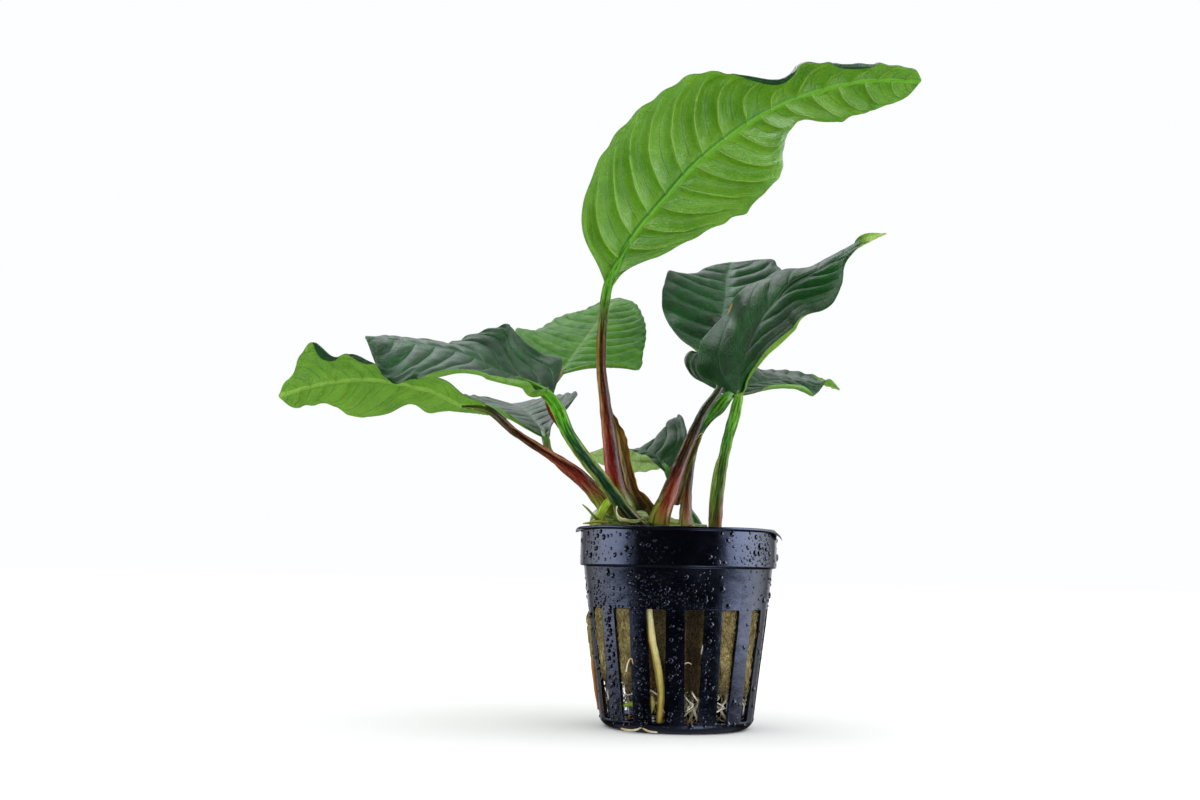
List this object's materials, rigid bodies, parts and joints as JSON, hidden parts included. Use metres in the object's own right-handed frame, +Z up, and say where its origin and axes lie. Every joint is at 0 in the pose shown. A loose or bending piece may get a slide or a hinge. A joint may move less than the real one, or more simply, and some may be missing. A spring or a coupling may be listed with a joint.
{
  "type": "potted aquarium plant",
  "caption": "Broad-leaved aquarium plant: ribbed leaves on red-green stalks rise from a creeping rhizome, rooted in rockwool in a black slotted net pot.",
  "frame": {"origin": "middle of the underside of the pot's solid centre disc", "axes": "+Z up along the pot's axis, -Y towards the side the picture shows, +X to its right"},
  "size_m": [0.1617, 0.1027, 0.1637],
  "materials": {
    "black_plastic": "glossy black, with water droplets",
    "rockwool": "damp olive-tan mineral fibre",
    "leaf": "leathery, dark green above and light green below",
    "stalk": "smooth, reddish brown to green",
    "rhizome": "smooth, yellow-green",
    "root": "smooth, cream to brown",
    "dried_sheath": "papery, golden brown with dark spots"
  },
  "bodies": {
    "root": {"pot": "black_plastic", "rockwool_plug": "rockwool", "rhizome": "rhizome", "young_root": "rhizome", "front_root": "root", "left_root": "root", "lower_root_1": "root", "lower_root_2": "root", "lower_root_3": "root", "lower_root_4": "root", "dried_sheath": "dried_sheath", "tall_stalk": "stalk", "tall_blade": "leaf", "low_left_stalk": "stalk", "low_left_blade": "leaf", "long_left_stalk": "stalk", "long_left_blade": "leaf", "rear_left_stalk": "stalk", "rear_left_blade": "leaf", "small_left_stalk": "stalk", "small_left_blade": "leaf", "front_right_stalk": "stalk", "front_right_blade": "leaf", "rear_right_stalk": "stalk", "rear_right_blade": "leaf", "low_right_stalk": "stalk", "low_right_blade": "leaf", "centre_stalk": "stalk", "centre_blade": "leaf"}
  },
  "joints": []
}
